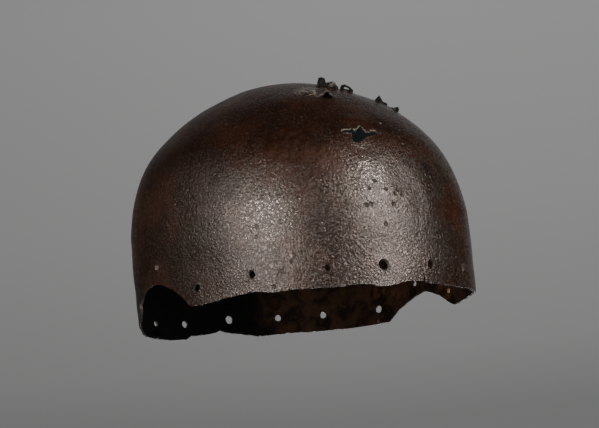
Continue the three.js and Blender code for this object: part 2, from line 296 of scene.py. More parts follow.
def holeLip(spot, holes):  # raised crust round a hole
    push = 0
    for place, halfWidth, halfTall in holes:
        away = (spot - place).length
        if away < lining["lipReach"]:
            edge = (away - (halfWidth + halfTall) / 2) / lining["lipWidth"]
            push += lining["lipRise"] * math.exp(-edge * edge)
    return push


def gridLevel(row):  # rows crowd towards the rim
    if row < plate["wallRows"]:
        return (row / plate["wallRows"]) ** plate["rimCrowding"] - 1
    return (row - plate["wallRows"]) / plate["domeRows"]


def crownPoint():
    spot = domePoint(0, 90)
    spot.z += unevenness(spot) + plate["crust"]
    return spot


def shellPoint(angle, level, marks, holes):
    spot = platePoint(angle, level)
    push = reliefAt(spot, marks) + plate["crust"] * min(max(level * plate["crustSlope"] + 1, 0), 1)
    if level < lining["lipTop"]:
        push += holeLip(spot, holes)
    nearRim = max(1 - (level + 1) * plate["rimSlope"], 0)
    spot += plateNormal(angle, level) * push
    spot.z += chippedRim(angle) * nearRim
    return spot


def trimToTable(piece):  # the low places of the rim are flat to rest on
    for vertex in piece.data.vertices:
        vertex.co.z = max(vertex.co.z, 0)


def makeSkullShell():  # a flat grid wrapped round to the plate's outer face
    rows = plate["wallRows"] + plate["domeRows"]
    deselectAll()
    bpy.ops.mesh.primitive_grid_add(x_subdivisions=plate["columns"], y_subdivisions=rows, size=1)
    shell = bpy.context.active_object
    marks, holes = markFrames(), holeFrames()
    for vertex in shell.data.vertices:
        compass = 360 * vertex.co.x
        row = round((vertex.co.y + 0.5) * rows)
        angle = -180 if compass > plate["seam"] else compass
        vertex.co = crownPoint() if row == rows else shellPoint(angle, gridLevel(row), marks, holes)
    editAll(shell)
    bpy.ops.mesh.remove_doubles(threshold=plate["mergeReach"])
    bpy.ops.mesh.normals_make_consistent()
    leaveEdit()
    shell.data.transform(onTable)
    trimToTable(shell)
    return shell


# How thin the plate is worn: at the rim and how high that reaches, and at the tears
wornPlate = {
    "rimShare": 0.62, "rimReach": 0.020, "tearShare": 0.45, "starReach": 0.022, "cornerReach": 0.014,
}


def thickenShell(shell):
    group = shell.vertex_groups.new(name="thickness")
    tears = [(placeOf(starTear), wornPlate["starReach"]), (placeOf(cornerTear), wornPlate["cornerReach"])]
    for vertex in shell.data.vertices:
        rise = min(max(vertex.co.z / wornPlate["rimReach"], 0), 1)
        share = wornPlate["rimShare"] + (1 - wornPlate["rimShare"]) * rise
        for place, reach in tears:
            away = min((vertex.co - place).length / reach, 1)
            share = min(share, wornPlate["tearShare"] + (1 - wornPlate["tearShare"]) * away * away)
        group.add([vertex.index], share, "REPLACE")
    applyModifier(
        shell, "SOLIDIFY", thickness=plate["thickness"], offset=-1, vertex_group="thickness",
        use_even_offset=True, material_offset=innerSlot, material_offset_rim=edgeSlot,
    )
    trimToTable(shell)


# How finely and deeply a torn outline is bitten; the depth is a share of the tear's span
raggedEdge = {"cuts": 3, "span": 0.0013, "depth": 0.022}


def outlineCutter(tear, place, outward):  # an outline stood on the plate and pushed through it
    across = levelAcross(outward)
    upward = outward.cross(across)
    deselectAll()
    bpy.ops.mesh.primitive_circle_add(vertices=len(tear["shares"]))
    cutter = bpy.context.active_object
    for vertex, (sideShare, upShare) in zip(cutter.data.vertices, tear["shares"]):
        vertex.co = place + across * sideShare * tear["span"] + upward * upShare * tear["tall"]
    editAll(cutter)
    bpy.ops.mesh.subdivide(number_cuts=raggedEdge["cuts"])
    leaveEdit()
    for vertex in cutter.data.vertices:
        bite = noise.noise_vector(vertex.co / raggedEdge["span"]) * raggedEdge["depth"] * tear["span"]
        vertex.co += bite - outward * bite.dot(outward)
    editAll(cutter)
    bpy.ops.mesh.edge_face_add()
    bpy.ops.transform.translate(value=outward * tear["depth"] / 2)
    bpy.ops.mesh.extrude_region_move(TRANSFORM_OT_translate={"value": -outward * tear["depth"]})
    bpy.ops.mesh.select_all(action="SELECT")
    bpy.ops.mesh.normals_make_consistent()
    leaveEdit()
    return cutter


def holeCutter(compass, heightShare, widthShare, tallShare, innerShare):
    turn = math.radians(compass)
    deselectAll()
    bpy.ops.mesh.primitive_cylinder_add(
        vertices=lining["sides"], radius=lining["bore"] / 2, depth=lining["reach"])
    cutter = bpy.context.active_object
    for vertex in cutter.data.vertices:
        around = Vector((vertex.co.x, vertex.co.y, 0)) / lining["bore"]
        bite = noise.noise(around * lining["raggedFineness"] + Vector((compass, 0, 0)))
        ragged = 1 + lining["ragged"] * bite
        ragged *= 1 + vertex.co.z / plate["thickness"] * (1 - innerShare)
        vertex.co.x *= widthShare * ragged
        vertex.co.y *= tallShare * ragged
    facing = Matrix(((math.cos(turn), 0, math.sin(turn)), (math.sin(turn), 0, -math.cos(turn)), (0, 1, 0)))
    place = holePlace((compass, heightShare))
    cutter.matrix_world = onTable @ Matrix.Translation(place) @ facing.to_4x4()
    return settle(cutter, "holeCutter")


def joinPieces(pieces):
    activate(pieces[0])
    for piece in pieces[1:]:
        piece.select_set(True)
    bpy.ops.object.join()
    return pieces[0]


def cutAway(piece, cutters):
    cutter = joinPieces(cutters)
    applyModifier(piece, "BOOLEAN", operation="DIFFERENCE", solver="EXACT", object=cutter)
    bpy.data.objects.remove(cutter)


# Lips of the tears, worn to a paler metal: the attribute rises from the star tear's middle to its upper
# lip and is 1 on the crack's left side, and a second one marks the mouths of the lining holes
wornLip = {
    "name": "wornLip", "mouth": "holeMouth", "reach": 0.017, "foot": 0.05, "climb": 3.2,
    "blotches": (0.36, 0.56, 0.0012, 2), "colour": (0.20, 0.165, 0.14),
}


def crackPlace():  # the middle of the crack on the standing plate
    compass = browCrack["compass"]
    return onTable @ wallPoint(compass, rimHeight(compass) + browCrack["tall"] / 2)


def markWornLips(shell):
    place, crack = placeOf(starTear), crackPlace()
    mouths = [onTable @ holePlace(hole) for hole in lining["shares"]]
    for name in (wornLip["name"], wornLip["mouth"]):
        shell.data.attributes.new(name, "FLOAT", "POINT")
    wear, mouthWear = shell.data.attributes[wornLip["name"]], shell.data.attributes[wornLip["mouth"]]
    for face in shell.data.polygons:
        if face.material_index != edgeSlot:
            continue
        if (face.center - place).length < wornLip["reach"]:
            for index in face.vertices:
                above = (shell.data.vertices[index].co.z - place.z) / starTear["tall"]
                wear.data[index].value = min(max(wornLip["foot"] + wornLip["climb"] * above, 0.0), 1.0)
        elif (face.center - crack).length < browCrack["tall"] / 2 and face.center.x > crack.x:
            for index in face.vertices:
                wear.data[index].value = 1.0
        elif min((face.center - mouth).length for mouth in mouths) < lining["bore"]:
            for index in face.vertices:
                mouthWear.data[index].value = 1.0


def makeCutters():
    cutters = [holeCutter(*hole) for hole in lining["shares"]]
    for tear in (starTear, cornerTear):
        cutters.append(outlineCutter(tear, placeOf(tear), outwardOf(tear)))
    outward = onTable.to_3x3() @ viewDirection(browCrack["compass"], 0)
    cutters.append(outlineCutter(browCrack, crackPlace(), outward))
    for cutter in cutters:
        for face in cutter.data.polygons:
            face.material_index = edgeSlot
    return cutters


def makeSkull(outside, inside, cutEdge):
    shell = makeSkullShell()
    cutters = makeCutters()
    for piece in [shell] + cutters:
        for finish in (outside, inside, cutEdge):
            piece.data.materials.append(finish)
    thickenShell(shell)
    print("skull shell", len(shell.data.polygons), "faces")
    cutAway(shell, cutters)
    markWornLips(shell)
    activate(shell)
    bpy.ops.object.shade_smooth_by_angle(angle=math.radians(plate["smoothAngle"]))
    skull = settle(shell, "dressedSkull")
    skull.vertex_groups.clear()
    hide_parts("skull")
    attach(skull, "root")
    print("skull cut", len(skull.data.polygons), "faces")


# Slivers of the crown: how coarse they are made again, how much they are crumpled and crusted,
# and by what shares each one is broader to its two sides and taller than its solid once crusted
slivers = {
    "shares": {
        "raised_blister": (1.0, 1.0, 1.0), "torn_tab_upright": (1.35, 1.35, 1.22),
        "torn_flap_folded": (1.0, 1.0, 1.15), "torn_flap_looped": (1.0, 1.0, 1.14),
        "torn_ridge_upper": (1.0, 1.45, 1.14), "torn_ridge_lower": (1.8, 1.0, 1.15),
    },
    "voxel": 0.00024, "crumpleSpan": 0.0036, "crumple": 0.00035, "crustSpan": 0.0009, "crust": 0.00012,
    "sink": 0.0003, "centre": (0, 0, 0.05), "eased": 0.5, "smoothAngle": 50,
}

# Blister drawn down over the whole three-cornered hole, low and narrow at its back, gaping in front
hood = {
    "node": "raised_blister", "compass": -11.5, "rise": 57.6, "back": 0.0052, "run": 0.0058, "skew": -0.0018,
    "narrow": 0.70, "broaden": 0.66, "low": 0.28, "gape": 0.84, "bend": 0.10,
}


def stretchHood(sliver):
    seat, outward = placeOf(hood), outwardOf(hood)
    across = levelAcross(outward)
    downhill = across.cross(outward)
    for vertex in sliver.data.vertices:
        away = vertex.co - seat
        down = away.dot(downhill)
        share = min(max((down + hood["back"]) / (2 * hood["back"]), 0), 1)
        sideways = away.dot(across) * (hood["narrow"] + hood["broaden"] * share) + hood["skew"] * share
        height = away.dot(outward) * (hood["low"] + hood["gape"] * math.sqrt(share))
        down += hood["run"] * share
        height -= down * down / (2 * hood["bend"])
        vertex.co = seat + across * sideways + downhill * down + outward * height


def largestPart(piece):  # drops the specks that the remesh leaves beside a thin edge
    editAll(piece)
    bpy.ops.mesh.separate(type="LOOSE")
    leaveEdit()
    parts = sorted(bpy.context.selected_objects, key=lambda part: len(part.data.vertices))
    for speck in parts[:-1]:
        bpy.data.objects.remove(speck)
    return parts[-1]


def fineCopy(node):  # the frame's solid made again in fine faces
    source = bpy.data.objects[node]
    sliver = source.copy()
    sliver.data = source.data.copy()
    bpy.context.collection.objects.link(sliver)
    sliver.hide_render = False
    sliver.hide_set(False)
    editAll(sliver)
    bpy.ops.mesh.remove_doubles(threshold=plate["mergeReach"])
    leaveEdit()
    applyModifier(sliver, "REMESH", mode="VOXEL", voxel_size=slivers["voxel"])
    return largestPart(sliver)


def crumple(sliver, broaderRight, broaderLeft, taller):
    middle = sum((vertex.co for vertex in sliver.data.vertices), Vector()) / len(sliver.data.vertices)
    outward = (middle - Vector(slivers["centre"])).normalized()
    across = levelAcross(outward)
    root = min(vertex.co.dot(outward) for vertex in sliver.data.vertices)
    for vertex in sliver.data.vertices:
        spot = vertex.co.copy()
        vertex.co += noise.noise_vector(spot / slivers["crumpleSpan"]) * slivers["crumple"]
        vertex.co += noise.noise_vector(spot / slivers["crustSpan"]) * slivers["crust"]
        sideways = (spot - middle).dot(across)
        vertex.co += across * sideways * ((broaderLeft if sideways > 0 else broaderRight) - 1)
        vertex.co += outward * ((spot.dot(outward) - root) * (taller - 1) - slivers["sink"])
    applyModifier(sliver, "SMOOTH", factor=slivers["eased"])


def makeSliver(node, finish):
    sliver = fineCopy(node)
    sliver.data.materials.clear()
    sliver.data.materials.append(finish)
    if node == hood["node"]:
        stretchHood(sliver)
    crumple(sliver, *slivers["shares"][node])
    activate(sliver)
    bpy.ops.object.shade_smooth_by_angle(angle=math.radians(slivers["smoothAngle"]))
    sliver = settle(sliver, "dressed_" + node)
    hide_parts(node)
    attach(sliver, "root")


class Wire:  # one shader value, with arithmetic
    def __init__(self, finish, socket):
        self.finish = finish
        self.socket = socket

    def math(self, operation, *values):
        return self.finish.node("ShaderNodeMath", {"operation": operation}, dict(enumerate(values)))

    def __add__(self, other):
        return self.math("ADD", self, other)

    def __radd__(self, other):
        return self.math("ADD", other, self)

    def __sub__(self, other):
        return self.math("SUBTRACT", self, other)

    def __rsub__(self, other):
        return self.math("SUBTRACT", other, self)

    def __mul__(self, other):
        return self.math("MULTIPLY", self, other)

    def __rmul__(self, other):
        return self.math("MULTIPLY", other, self)

    def size(self):
        return self.math("ABSOLUTE", self)

    def larger(self, other):
        return self.math("MAXIMUM", self, other)


class Finish:  # one material while it is built
    def __init__(self, name):
        self.material = bpy.data.materials.new(name)
        self.material.use_nodes = True
        self.tree = self.material.node_tree
        self.tree.nodes.clear()
        self.place = Wire(self, self.tree.nodes.new("ShaderNodeTexCoord").outputs["Object"])

    def node(self, kind, settings=None, sockets=None, output=0):
        made = self.tree.nodes.new(kind)
        for name, value in (settings or {}).items():
            if name == "stops":
                ramp = made.color_ramp
                while len(ramp.elements) < len(value):
                    ramp.elements.new(0.5)
                for element, (position, colour) in zip(ramp.elements, value):
                    element.position = position
                    element.color = (*colour, 1)
            else:
                setattr(made, name, value)
        for name, value in (sockets or {}).items():
            if isinstance(value, Wire):
                self.tree.links.new(value.socket, made.inputs[name])
            else:
                made.inputs[name].default_value = value
        return Wire(self, made.outputs[output])

    def grain(self, span, detail=2, roughness=0.5, distortion=0, place=None):
        return self.node("ShaderNodeTexNoise", {}, {
            "Vector": place or self.place, "Scale": 1 / span, "Detail": detail,
            "Roughness": roughness, "Distortion": distortion}, "Fac")

    def relief(self, depth, *settings):
        return self.grain(*settings) * depth

    def blotches(self, low, high, *settings):  # noise, 0 below its low level and 1 above its high one
        return self.between(self.grain(*settings), low, high)

    def cells(self, span, place=None, feature="F1", smoothness=0.5):
        settings = {"feature": feature}
        sockets = {"Vector": place or self.place, "Scale": 1 / span}
        if feature == "SMOOTH_F1":
            sockets["Smoothness"] = smoothness
        return self.node("ShaderNodeTexVoronoi", settings, sockets, "Distance")

    def cellHeights(self, span, place):  # one level height per cell
        tint = self.node("ShaderNodeTexVoronoi", {}, {"Vector": place, "Scale": 1 / span}, "Color")
        return self.node("ShaderNodeSeparateColor", {}, {"Color": tint}, "Red")

    def between(self, value, low, high, steps="SMOOTHSTEP"):  # 0 below low, 1 above high
        settings = {"interpolation_type": steps}
        return self.node("ShaderNodeMapRange", settings, {"Value": value, "From Min": low, "From Max": high})

    def vectorMath(self, operation, sockets, output=0):
        return self.node("ShaderNodeVectorMath", {"operation": operation}, sockets, output)

    def near(self, spot, narrow, wide):  # 1 inside a radius round a place, 0 outside a wider one
        away = self.vectorMath("DISTANCE", {0: self.place, 1: spot}, "Value")
        return 1 - self.between(away, narrow, wide)

    def nearAny(self, spots):
        zone = self.near(*spots[0])
        for spot in spots[1:]:
            zone = zone.larger(self.near(*spot))
        return zone

    def along(self, axis, *limits):  # 0 below the lower limit on an axis, 1 above the upper
        return self.between(self.node("ShaderNodeSeparateXYZ", {}, {"Vector": self.place}, axis), *limits)

    def attribute(self, name):
        return self.node("ShaderNodeAttribute", {"attribute_name": name}, {}, "Fac")

    def blend(self, amount, first, second):  # colours
        settings = {"data_type": "RGBA"}
        first = first if isinstance(first, Wire) else (*first, 1)
        second = second if isinstance(second, Wire) else (*second, 1)
        return self.node("ShaderNodeMix", settings, {"Factor": amount, 6: first, 7: second}, 2)

    def layers(self, colour, tints):  # each amount and tint laid over the colour so far
        for amount, tint in tints:
            colour = self.blend(amount, colour, tint)
        return colour

    def shifted(self, amount, span):  # object place pushed about by noise, for broken-up patterns
        wobble = self.node("ShaderNodeTexNoise", {}, {"Vector": self.place, "Scale": 1 / span}, "Color")
        centred = self.vectorMath("SUBTRACT", {0: wobble, 1: (0.5, 0.5, 0.5)})
        scaled = self.vectorMath("SCALE", {0: centred, "Scale": amount})
        return self.vectorMath("ADD", {0: self.place, 1: scaled})

    def surface(self, sockets, height=None):  # height in metres
        if height is not None:
            sockets["Normal"] = self.node(
                "ShaderNodeBump", {}, {"Height": height, "Distance": 1.0, "Strength": 1.0}, "Normal")
        shader = self.node("ShaderNodeBsdfPrincipled", {}, sockets, "BSDF")
        output = self.tree.nodes.new("ShaderNodeOutputMaterial")
        self.tree.links.new(shader.socket, output.inputs["Surface"])
        return self.material


# Outer face: colours, grain sizes and depths in metres, and the places of its rust and pits
patina = {
    "deep": (0.0115, 0.0035, 0.0013), "brown": (0.0265, 0.0082, 0.0032), "grey": (0.017, 0.0110, 0.0082),
    # speck: pale specks, partly real and partly painted glints on the small bumps
    "rust": (0.036, 0.0105, 0.0036), "soot": (0.004, 0.003, 0.0025), "speck": (0.060, 0.040, 0.029),
    "grainSpan": 0.0010, "grainDepth": 0.00028, "pebbleSpan": 0.0015, "pebbleDepth": 0.00020,
    "creaseSpan": 0.0019, "creaseWidth": 0.11, "pitSpan": 0.0052, "pitDepth": 0.00045,
    "roughness": 0.17, "sheen": (1.0, 0.90, 0.84, 1), "bare": (0.102, 0.0880, 0.0775), "bareness": 0.92,
    "rustSpots": [((-0.0570, -0.0769, 0.0924), 0.006, 0.022), ((-0.0445, -0.0940, 0.0802), 0.002, 0.016),
                  ((0.0483, -0.0996, 0.0558), 0.004, 0.026), ((0.0410, -0.1066, 0.0232), 0.002, 0.020),
                  ((0.0283, -0.1107, 0.0440), 0.003, 0.016)],
    "pitSpots": [((0.0038, -0.1138, 0.0557), 0.004, 0.012), ((0.0226, -0.1101, 0.0597), 0.004, 0.010)],
    "deepPits": [(-0.0250, -0.1093, 0.0601), (-0.0144, -0.1119, 0.0593), (-0.0207, -0.1094, 0.0648),
                 (-0.0086, -0.1132, 0.0565), (-0.0066, -0.1130, 0.0588), (-0.0258, -0.1108, 0.0503),
                 (-0.0289, -0.1099, 0.0498), (-0.0111, -0.1141, 0.0499), (-0.0185, -0.1141, 0.0376),
                 (0.0225, -0.1082, 0.0676)],
    "deepPitReach": (0.0006, 0.0018),
    "scaleSpots": [((0.0230, -0.1060, 0.0742), 0.001, 0.006), ((0.0225, -0.1077, 0.0689), 0.001, 0.006)],
    "flakeSpots": [((-0.0160, -0.0500, 0.1313), 0.005, 0.012), ((0.008, -0.050, 0.131), 0.004, 0.014)],
    "flakeSpan": 0.0028, "flakeDepth": 0.00055, "chipped": (0.150, 0.118, 0.092), "chippedSpan": 0.0022,
    "chippedSpots": [((-0.0150, -0.0480, 0.1323), 0.007, 0.0135)],
    "fleck": (0.250, 0.200, 0.160),
    "fleckSpots": [((0.0029, -0.0904, 0.1043), 0.0004, 0.0012), ((0.0191, -0.1085, 0.0693), 0.0003, 0.0011),
                   ((0.0196, -0.1104, 0.0623), 0.0003, 0.0010)],
    "domeDeep": (0.0080, 0.0023, 0.0009), "domeBrown": (0.0182, 0.0054, 0.0020),
    "streakSpots": [((0.022, -0.112, 0.030), 0.012, 0.030), ((-0.066, -0.080, 0.016), 0.010, 0.034)],
    "streakSpan": 0.0011, "streakDepth": 0.00036,
    # painted shade: low on the rear-right wall, where shade falls, soot is laid on and the bare metal taken
    # away
    "paintedShadeSpots": [((-0.0884, 0.0552, 0.0120), 0.012, 0.030)],
    # partly painted highlight: the rubbed colour and the handled and rubbed spots put paler, more reflective
    # bare metal on the highlights, besides handling wear
    "rubbed": (0.165, 0.146, 0.132),
    "handledSheenSpots": [((-0.0185, -0.1060, 0.0700), 0.012, 0.036), ((-0.0760, -0.0730, 0.0480), 0.012, 0.040),
                     ((0.0049, -0.1166, 0.0200), 0.010, 0.034)],
    "rubbedSheenSpots": [((-0.0185, -0.1060, 0.0760), 0.004, 0.020), ((-0.0760, -0.0730, 0.0500), 0.006, 0.024)],
    "shift": (0.0016, 0.0035), "pitShift": (0.002, 0.005), "streakDrawn": (1, 1, 0.22),
    "rustSpan": 0.0045, "speckSpan": 0.0016,
    # where a tint begins and is full along an axis
    "domed": ("Z", 0.072, 0.098), "raised": ("Z", 0.050, 0.100), "rear": ("Y", -0.045, 0.010),
    "rusty": ("Z", 0.04, 0.10), "leftSide": ("X", 0.012, 0.050), "untouched": ("Z", 0.080, 0.104),
    # blotches: their two noise levels, then span, detail, roughness and distortion
    "scatter": (0.56, 0.64, 0.030, 1), "broad": (0.38, 0.66, 0.026, 3, 0.6),
    "greyed": (0.36, 0.62, 0.040, 2, 0.6, 0.6), "scale": (0.38, 0.52, 0.0030, 3, 0.6),
    "flakeBreaks": (0.44, 0.56, 0.0030, 2),
    "levels": {  # of noise or distance, between which a mark comes up
        "pit": (0.16, 0.29), "rustGrain": (0.52, 0.72), "rustZone": (0.05, 0.9), "rustCover": (0.15, 0.8),
        "speck": (0.62, 0.74), "hollow": (0.35, 0.50), "flakeRim": (0.06, 0.20), "high": (0.46, 0.60),
    },
    "shares": {  # how strongly a mark shows, spreads, or covers the bare metal
        "scatter": 0.6, "greyFloor": 0.05, "grey": 0.65, "rustFloor": 0.18, "rust": 0.30, "speck": 0.5,
        "leftSpeck": 0.4, "crackSoot": 0.45, "hollowSoot": 0.7, "sooty": 0.7, "pitSoot": 0.85,
        "rustSpread": 0.10, "speckSpread": 0.08, "rubSpread": 0.03, "scaleCover": 0.9, "rustCover": 0.92,
        "domeCover": 0.86, "sootyCover": 0.85, "unhandled": 0.62, "rearBare": 0.55,
    },
    "rougher": {"low": 0.10, "pit": 0.25, "rust": 0.12, "rear": 0.12},
}


def patinaGround(finish):  # the grain, cracks, pits, flakes and streaks that give the face its relief
    broken = finish.shifted(*patina["shift"])
    fine = finish.grain(patina["grainSpan"], 3, 0.65)
    pebble = 1 - finish.cells(patina["pebbleSpan"], broken, "SMOOTH_F1", 0.35)
    crease = (finish.grain(patina["creaseSpan"], 2, 0.55, place=broken) - 0.5).size()
    pitField = finish.cells(patina["pitSpan"], finish.shifted(*patina["pitShift"]))
    scatter = finish.blotches(*patina["scatter"]) * patina["shares"]["scatter"]
    pitZone = finish.nearAny(patina["pitSpots"]).larger(scatter)
    single = finish.nearAny([(spot, *patina["deepPitReach"]) for spot in patina["deepPits"]])
    pits = single.larger((1 - finish.between(pitField, *patina["levels"]["pit"])) * pitZone)
    flakes = finish.cellHeights(patina["flakeSpan"], broken) * finish.nearAny(patina["flakeSpots"])
    drawn = finish.vectorMath("MULTIPLY", {0: broken, 1: patina["streakDrawn"]})
    streaks = finish.grain(patina["streakSpan"], 2, 0.5, place=drawn) * finish.nearAny(patina["streakSpots"])
    height = fine * patina["grainDepth"] + pebble * patina["pebbleDepth"] - pits * patina["pitDepth"]
    height = height + flakes * patina["flakeDepth"] + streaks * patina["streakDepth"]
    return {
        "broken": broken, "grain": (fine + pebble) * 0.5, "pits": pits, "height": height,
        "plateau": finish.between(crease, 0.0, patina["creaseWidth"]),  # 0 in fine cracks, 1 between them
    }


def patinaBase(finish, front):  # browns, darker over the dome, and grey low in front
    domed = finish.along(*patina["domed"])
    deep = finish.blend(domed, patina["deep"], patina["domeDeep"])
    brown = finish.blend(domed, patina["brown"], patina["domeBrown"])
    colour = finish.blend(finish.blotches(*patina["broad"]), deep, brown)
    lower = 1 - finish.along(*patina["raised"])
    greyness = patina["shares"]["greyFloor"] + patina["shares"]["grey"] * lower * front
    return finish.blend(finish.blotches(*patina["greyed"]) * greyness, colour, patina["grey"])


def rustPlaces(finish):  # where it is rusty, and the grain of the rust
    zone = patina["shares"]["rustFloor"] * finish.along(*patina["rusty"])
    for spot in patina["rustSpots"]:
        zone = zone + finish.near(*spot)
    grain = finish.grain(patina["rustSpan"], 4, 0.7) + patina["shares"]["rustSpread"] * zone
    return zone, finish.between(grain, *patina["levels"]["rustGrain"])


def chippedFlakes(finish, colour, broken):  # black hollows and pale rims beside the crown's tears
    levels = patina["levels"]
    chipped = finish.nearAny(patina["chippedSpots"])
    hollows = 1 - finish.between(finish.cellHeights(patina["chippedSpan"], broken), *levels["hollow"])
    colour = finish.blend(hollows * chipped * patina["shares"]["hollowSoot"], colour, patina["soot"])
    edges = finish.cells(patina["chippedSpan"], broken, "DISTANCE_TO_EDGE")
    flakeRims = (1 - finish.between(edges, *levels["flakeRim"])) * finish.blotches(*patina["flakeBreaks"])
    return finish.blend(flakeRims * chipped, colour, patina["chipped"])


def bareMetal(finish, high, pits, rustZone, front, sooty):
    shares = patina["shares"]
    bare = high * patina["bareness"] * (1 - pits)
    bare = bare * (1 - shares["rustCover"] * finish.between(rustZone, *patina["levels"]["rustCover"]))
    # more bare metal round the highlights: handling wear and partly painted highlight
    handledOrSheenZone = finish.nearAny(patina["handledSheenSpots"])
    handledSheenShare = 1 - shares["domeCover"] * finish.along(*patina["untouched"])
    handledSheenShare = handledSheenShare * (shares["unhandled"] + (1 - shares["unhandled"]) * handledOrSheenZone)
    frontShare = shares["rearBare"] + (1 - shares["rearBare"]) * front
    # less bare metal under the painted shade low on the rear-right wall
    return bare * handledSheenShare * frontShare * (1 - shares["sootyCover"] * sooty)


def makePatina():
    finish = Finish("patinatedIronOutside")
    levels, shares, rougher, soot = [patina[name] for name in ("levels", "shares", "rougher", "soot")]
    ground = patinaGround(finish)
    broken, plateau, pits = ground["broken"], ground["plateau"], ground["pits"]
    front = 1 - finish.along(*patina["rear"])
    rustZone, rustGrain = rustPlaces(finish)
    rusted = rustGrain * finish.between(rustZone, *levels["rustZone"]) * shares["rust"]
    # pale specks, partly painted glints, thicker towards the wearer's left where the face is seen edge-on
    leftSide = finish.along(*patina["leftSide"])
    specks = finish.grain(patina["speckSpan"], 2, 0.6, place=broken) + shares["speckSpread"] * leftSide
    specks = finish.between(specks, *levels["speck"]) * (shares["speck"] + shares["leftSpeck"] * leftSide)
    darkScale = finish.nearAny(patina["scaleSpots"]) * finish.blotches(*patina["scale"])
    # partly painted highlight: paler rubbed metal on the two highlight cores
    rubbed = finish.nearAny(patina["rubbedSheenSpots"])
    high = finish.between(ground["grain"] + shares["rubSpread"] * rubbed, *levels["high"])
    high = high * plateau * (1 - shares["scaleCover"] * darkScale)  # what stands up is rubbed bare
    # painted shade low on the rear-right wall
    sooty = finish.nearAny(patina["paintedShadeSpots"])
    bare = bareMetal(finish, high, pits, rustZone, front, sooty)
    worn = finish.attribute(wornLip["name"]) * finish.blotches(*wornLip["blotches"])
    colour = finish.layers(patinaBase(finish, front), [
        (rusted, patina["rust"]), (specks, patina["speck"]),
        (shares["crackSoot"] * (1 - plateau), soot), (darkScale, soot)])
    colour = finish.layers(chippedFlakes(finish, colour, broken), [
        (finish.nearAny(patina["fleckSpots"]), patina["fleck"]), (shares["sooty"] * sooty, soot),
        (bare, finish.blend(rubbed, patina["bare"], patina["rubbed"])),
        (worn, wornLip["colour"]), (pits * shares["pitSoot"], soot)])
    rough = patina["roughness"] + rougher["low"] * (1 - high) + rougher["pit"] * pits
    rough = rough + rougher["rust"] * rustGrain * rustZone
    rough = rough + rougher["rear"] * (1 - front)  # less handled behind the ears
    return finish.surface({
        "Base Color": colour, "Roughness": rough, "IOR": 1.42, "Specular Tint": patina["sheen"],
        "Metallic": bare}, ground["height"])


# Inner face: dark scale, rustier towards the wearer's left, blue-black under the crown; its near-black soot
# turning to paler scale and brown blotches towards the wearer's left is painted light and shade
inner = {
    "soot": (0.0017, 0.0013, 0.0009), "scale": (0.036, 0.0195, 0.0115), "brown": (0.160, 0.080, 0.041),
    "rust": (0.30, 0.122, 0.044), "blue": (0.066, 0.096, 0.115), "blotchSpan": 0.009, "rustSpan": 0.0040,
    "rustSpots": [((0.0951, 0.0293, 0.0172), 0.002, 0.007), ((0.0920, 0.0419, 0.0226), 0.002, 0.010),
                  ((0.0980, -0.0213, 0.0105), 0.003, 0.008), ((0.0976, -0.0141, 0.0143), 0.002, 0.007)],
    "leftward": ("X", 0.028, 0.054), "high": ("Z", 0.085, 0.105), "top": ("Z", 0.128, 0.136),
    "blotchLevels": (0.52, 0.78), "rustLevels": (0.56, 0.69), "rustShift": (0.006, 0.02), "spread": 0.14,
    "rustFloor": 0.45, "rustShare": 0.50, "blueShare": 0.8,
    "fine": (0.0003, 0.0016, 4, 0.6), "coarse": (0.0006, 0.006, 3),
}


def makeInside():
    finish = Finish("scaledIronInside")
    # painted light: near-black soot on the wearer's right turns to paler scale and brown blotches on the
    # left
    leftward = finish.along(*inner["leftward"])
    blotch = finish.grain(inner["blotchSpan"], 4, 0.62, 0.5) + inner["spread"] * leftward
    blotch = finish.between(blotch, *inner["blotchLevels"]) * leftward
    scale = finish.blend(leftward, inner["soot"], inner["scale"])
    rusty = finish.nearAny(inner["rustSpots"])
    rust = finish.grain(inner["rustSpan"], 4, 0.65, place=finish.shifted(*inner["rustShift"]))
    rust = finish.between(rust + inner["spread"] * rusty, *inner["rustLevels"])
    amount = rust * (inner["rustFloor"] + inner["rustShare"] * rusty) * leftward
    high = finish.along(*inner["high"]) * (1 - finish.along(*inner["top"]))
    colour = finish.layers(scale, [
        (blotch, inner["brown"]), (amount, inner["rust"]),
        (high * inner["blueShare"], inner["blue"])])
    height = finish.relief(*inner["fine"]) + finish.relief(*inner["coarse"])
    return finish.surface({"Base Color": colour, "Roughness": 0.72, "IOR": 1.45}, height)


# Cut and broken edges, where the metal shows through
brokenEdge = {
    "dark": (0.018, 0.012, 0.009), "worn": (0.085, 0.066, 0.055), "torn": (0.17, 0.143, 0.122),
    "tornSpots": [((-0.0080, -0.0910, 0.1025), 0.014, 0.020), ((-0.0984, 0.0167, 0.0324), 0.0, 0.0042)],
    "golden": (0.17, 0.082, 0.027), "goldenSpots": [((0.0959, -0.0252, 0.0112), 0.005, 0.008)],
    "wearSpan": 0.0022, "wearLevels": (0.40, 0.64), "mouthPaler": 0.16, "rimDarker": 0.04,
    "grain": (0.00025, 0.0009, 3, 0.6),
}


def makeCutEdge():
    finish = Finish("brokenIronEdge")
    rubbed = finish.attribute(wornLip["mouth"]) * brokenEdge["mouthPaler"] - brokenEdge["rimDarker"]
    wear = finish.grain(brokenEdge["wearSpan"], 3, 0.6) + rubbed
    wear = finish.between(wear, *brokenEdge["wearLevels"])
    worn = finish.blend(finish.nearAny(brokenEdge["tornSpots"]), brokenEdge["worn"], brokenEdge["torn"])
    colour = finish.blend(wear, brokenEdge["dark"], worn)
    colour = finish.blend(finish.nearAny(brokenEdge["goldenSpots"]), colour, brokenEdge["golden"])
    return finish.surface(
        {"Base Color": colour, "Roughness": 0.6, "IOR": 1.4}, finish.relief(*brokenEdge["grain"]))


